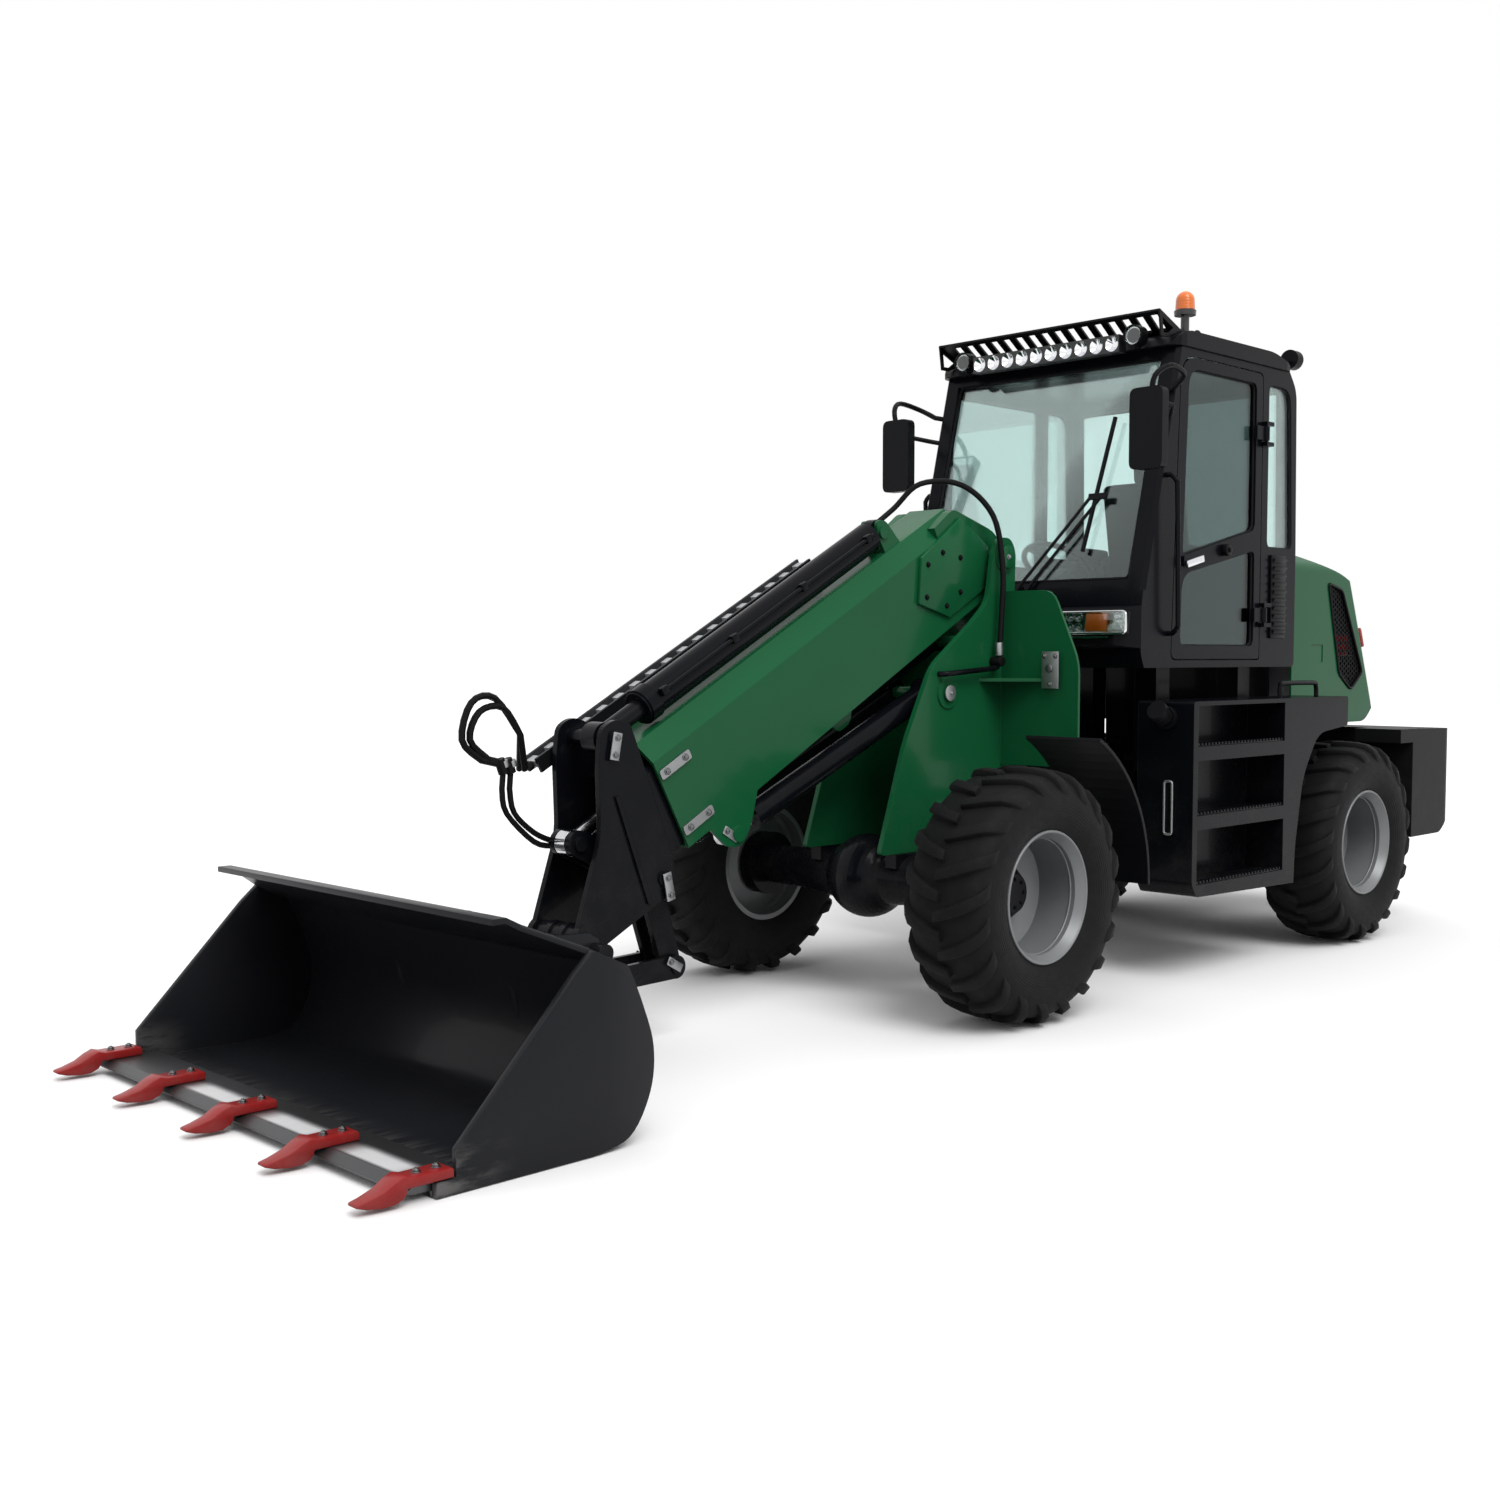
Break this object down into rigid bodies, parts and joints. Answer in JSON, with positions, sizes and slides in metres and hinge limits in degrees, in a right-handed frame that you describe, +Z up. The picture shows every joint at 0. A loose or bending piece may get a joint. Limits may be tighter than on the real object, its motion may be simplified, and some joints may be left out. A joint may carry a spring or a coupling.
{
  "type": "wheel loader",
  "caption": "Articulated compact wheel loader with a telescopic boom, toothed bucket on a coupler, lever tilt linkage, glazed cab, opening hood and road tyres on dished rims.",
  "frame": {"origin": "on the ground, under the middle of the whole machine's box", "axes": "+X forward towards the bucket, +Y to the left, +Z up"},
  "size_m": [7.2004, 2.06, 3.2159],
  "materials": {
    "green_paint": "gloss",
    "black_paint": "satin",
    "dark_grey_cast": "satin",
    "silver_paint": "satin",
    "tyre_rubber": "matte",
    "tinted_glass": "clear",
    "black_plastic": "matte",
    "chrome_rod": "polished",
    "zinc_plate": "satin",
    "edge_steel": "worn",
    "red_paint": "satin",
    "seat_vinyl": "matte",
    "lamp_chrome": "polished",
    "amber_lens": "gloss",
    "red_lens": "gloss",
    "engine_grey": "matte",
    "hose_rubber": "matte"
  },
  "bodies": {
    "rear_frame": {"rear_frame": "black_paint", "rear_axle": "black_paint", "engine_block": "engine_grey", "counterweight": "dark_grey_cast", "step_boxes": "black_paint", "tank_fittings": "black_plastic", "cab_frame": "black_paint", "cab_roof": "black_plastic", "cab_glass": "tinted_glass", "wiper": "black_plastic", "operator_seat": "seat_vinyl", "steering_console": "black_plastic", "lamp_pods": "black_plastic", "headlamps": "lamp_chrome", "roof_visor": "black_plastic", "light_bar": "lamp_chrome", "work_lamps": "black_plastic", "beacon": "amber_lens", "mirrors": "black_plastic", "handrails": "black_paint"},
    "door": {"cab_door": "black_paint", "door_glass": "tinted_glass"},
    "hood": {"hood": "green_paint", "hood_grilles": "black_plastic", "tail_lamps": "red_lens"},
    "front_frame": {"front_frame": "green_paint", "front_axle": "black_paint", "front_fenders": "black_plastic"},
    "outer_boom": {"outer_boom": "green_paint", "wear_pads": "zinc_plate", "extension_barrel": "black_paint", "boom_hoses": "hose_rubber"},
    "inner_boom": {"inner_boom": "black_paint", "extension_rod": "chrome_rod", "hose_carrier": "black_plastic", "head_hoses": "hose_rubber"},
    "lift_barrels": {"lift_barrels": "black_paint"},
    "lift_rods": {"lift_rods": "chrome_rod"},
    "level_barrel": {"level_barrel": "black_paint"},
    "level_rod": {"level_rod": "chrome_rod"},
    "tilt_barrel": {"tilt_barrel": "black_paint"},
    "tilt_rod": {"tilt_rod": "chrome_rod"},
    "bellcrank": {"bellcrank": "black_paint"},
    "tilt_link": {"tilt_link": "black_paint"},
    "bucket": {"coupler": "black_paint", "bucket": "black_paint", "cutting_edge": "edge_steel", "bucket_teeth": "red_paint"},
    "wheel_fl": {"tyre_fl": "tyre_rubber", "rim_fl": "silver_paint"},
    "wheel_fr": {"tyre_fr": "tyre_rubber", "rim_fr": "silver_paint"},
    "wheel_rl": {"tyre_rl": "tyre_rubber", "rim_rl": "silver_paint"},
    "wheel_rr": {"tyre_rr": "tyre_rubber", "rim_rr": "silver_paint"}
  },
  "joints": [
    {"name": "steering", "type": "hinge", "parent": "rear_frame", "child": "front_frame", "pos_m": [-1.02021, 0, 0.64], "axis": [0, 0, 1], "range_deg": [-30, 30]},
    {"name": "boom_lift", "type": "hinge", "parent": "front_frame", "child": "outer_boom", "pos_m": [-0.26921, 0, 1.947], "axis": [0, -1, 0], "range_deg": [0, 65], "deforming": ["boom_hoses"]},
    {"name": "boom_extend", "type": "slide", "parent": "outer_boom", "child": "inner_boom", "axis": [0.8788, 0, -0.4772], "range_m": [0, 1]},
    {"name": "bucket_tilt", "type": "hinge", "parent": "inner_boom", "child": "bucket", "pos_m": [2.11021, 0, 0.45626], "axis": [0, 1, 0], "range_deg": [-42, 100]},
    {"name": "cab_door_swing", "type": "hinge", "parent": "rear_frame", "child": "door", "pos_m": [-1.76821, 0.708, 1.7], "axis": [0, 0, 1], "range_deg": [0, 85]},
    {"name": "hood_lift", "type": "hinge", "parent": "rear_frame", "child": "hood", "pos_m": [-2.25221, 0, 2], "axis": [0, 1, 0], "range_deg": [0, 60]},
    {"name": "wheel_fl_roll", "type": "hinge", "parent": "front_frame", "child": "wheel_fl", "pos_m": [0.39979, 0.795, 0.525], "axis": [0, 1, 0], "continuous": true},
    {"name": "wheel_fr_roll", "type": "hinge", "parent": "front_frame", "child": "wheel_fr", "pos_m": [0.39979, -0.795, 0.525], "axis": [0, 1, 0], "continuous": true},
    {"name": "wheel_rl_roll", "type": "hinge", "parent": "rear_frame", "child": "wheel_rl", "pos_m": [-2.42021, 0.795, 0.525], "axis": [0, 1, 0], "continuous": true},
    {"name": "wheel_rr_roll", "type": "hinge", "parent": "rear_frame", "child": "wheel_rr", "pos_m": [-2.42021, -0.795, 0.525], "axis": [0, 1, 0], "continuous": true},
    {"name": "lift_swing", "type": "hinge", "parent": "front_frame", "child": "lift_barrels", "pos_m": [0.14479, 0, 1.332], "axis": [0, -1, 0], "range_deg": [-0.5, 74.92]},
    {"name": "lift_stroke", "type": "slide", "parent": "lift_barrels", "child": "lift_rods", "axis": [0.9146, 0, -0.4043], "range_m": [-0.002, 0.75033]},
    {"name": "level_swing", "type": "hinge", "parent": "front_frame", "child": "level_barrel", "pos_m": [-0.05021, 0, 1.56], "axis": [0, -1, 0], "range_deg": [-0.5, 74.04]},
    {"name": "level_stroke", "type": "slide", "parent": "level_barrel", "child": "level_rod", "axis": [0.9026, 0, -0.4305], "range_m": [-0.002, 0.45711]},
    {"name": "bellcrank_turn", "type": "hinge", "parent": "inner_boom", "child": "bellcrank", "pos_m": [1.73521, 0, 0.65026], "axis": [0, 1, 0], "range_deg": [-14.91, 34.81]},
    {"name": "link_turn", "type": "hinge", "parent": "bellcrank", "child": "tilt_link", "pos_m": [1.62221, 0, 0.28826], "axis": [0, 1, 0], "range_deg": [-41.39, 17.67]},
    {"name": "tilt_swing", "type": "hinge", "parent": "inner_boom", "child": "tilt_barrel", "pos_m": [1.0649, 0, 1.35691], "axis": [0, 1, 0], "range_deg": [-3.65, 7.99]},
    {"name": "tilt_stroke", "type": "slide", "parent": "tilt_barrel", "child": "tilt_rod", "axis": [0.877, 0, -0.4805], "range_m": [-0.06635, 0.15521]}
  ],
  "couplings": [
    {"joint": "lift_swing", "follows": "boom_lift", "ratio": 1.145},
    {"joint": "lift_stroke", "follows": "boom_lift", "m_per_rad": 0.65963},
    {"joint": "level_swing", "follows": "boom_lift", "ratio": 1.1315},
    {"joint": "level_stroke", "follows": "boom_lift", "m_per_rad": 0.40117},
    {"joint": "bellcrank_turn", "follows": "bucket_tilt", "ratio": 0.34315},
    {"joint": "link_turn", "follows": "bucket_tilt", "ratio": -0.40891},
    {"joint": "tilt_swing", "follows": "bucket_tilt", "ratio": 0.074883},
    {"joint": "tilt_stroke", "follows": "bucket_tilt", "m_per_rad": 0.087784}
  ]
}
